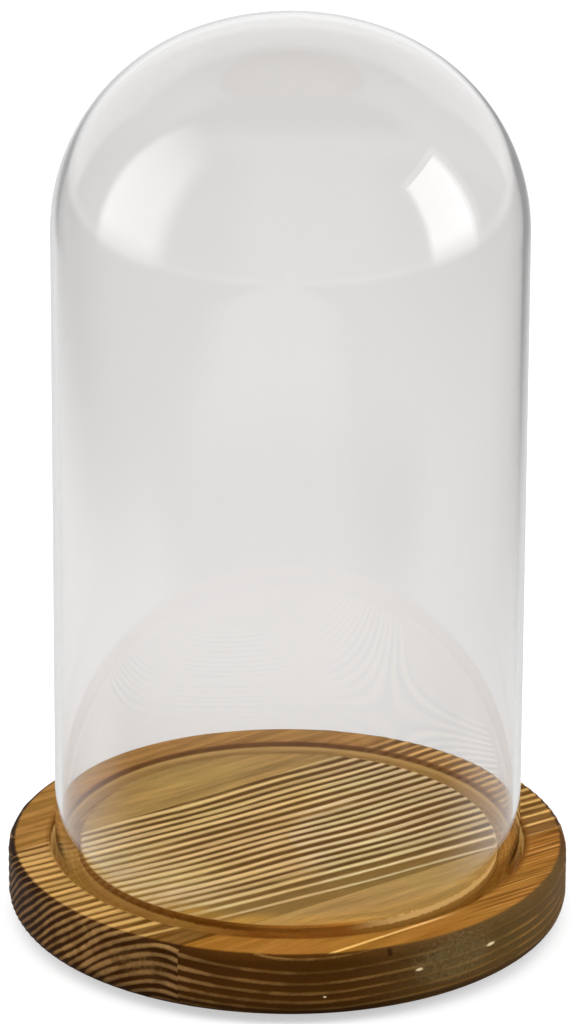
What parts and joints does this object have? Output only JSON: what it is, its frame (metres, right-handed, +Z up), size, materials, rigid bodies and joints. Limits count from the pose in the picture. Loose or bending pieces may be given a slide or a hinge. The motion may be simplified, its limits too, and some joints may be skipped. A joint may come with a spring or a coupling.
{
  "type": "bell jar dome",
  "caption": "Clear glass bell jar with a domed crown that stands in the groove of a round turned pine base and lifts off to reach the display deck.",
  "frame": {"origin": "centre of the footprint, on the surface that the felt pads stand on", "axes": "+Z up along the dome's axis; +X and +Y level, with the wood grain running 37 degrees from +X towards +Y"},
  "size_m": [0.18, 0.18, 0.298],
  "materials": {
    "clear_glass": "clear blown soda-lime glass with a fire-polished rim",
    "torched_pine_back": "torched and brushed pine, flat-sawn, satin",
    "torched_pine_middle": "torched and brushed pine, rift-sawn with light raised lines, satin",
    "torched_pine_front": "torched and brushed pine, flat-sawn, satin",
    "felt": "pressed wool felt"
  },
  "bodies": {
    "base": {"base_board_back": "torched_pine_back", "base_board_middle": "torched_pine_middle", "base_board_front": "torched_pine_front", "foot_pad_1": "felt", "foot_pad_2": "felt", "foot_pad_3": "felt", "foot_pad_4": "felt"},
    "dome": {"glass_dome": "clear_glass"}
  },
  "joints": [
    {"name": "dome_lift", "type": "slide", "parent": "base", "child": "dome", "axis": [0, 0, 1], "range_m": [0, 0.3]}
  ]
}
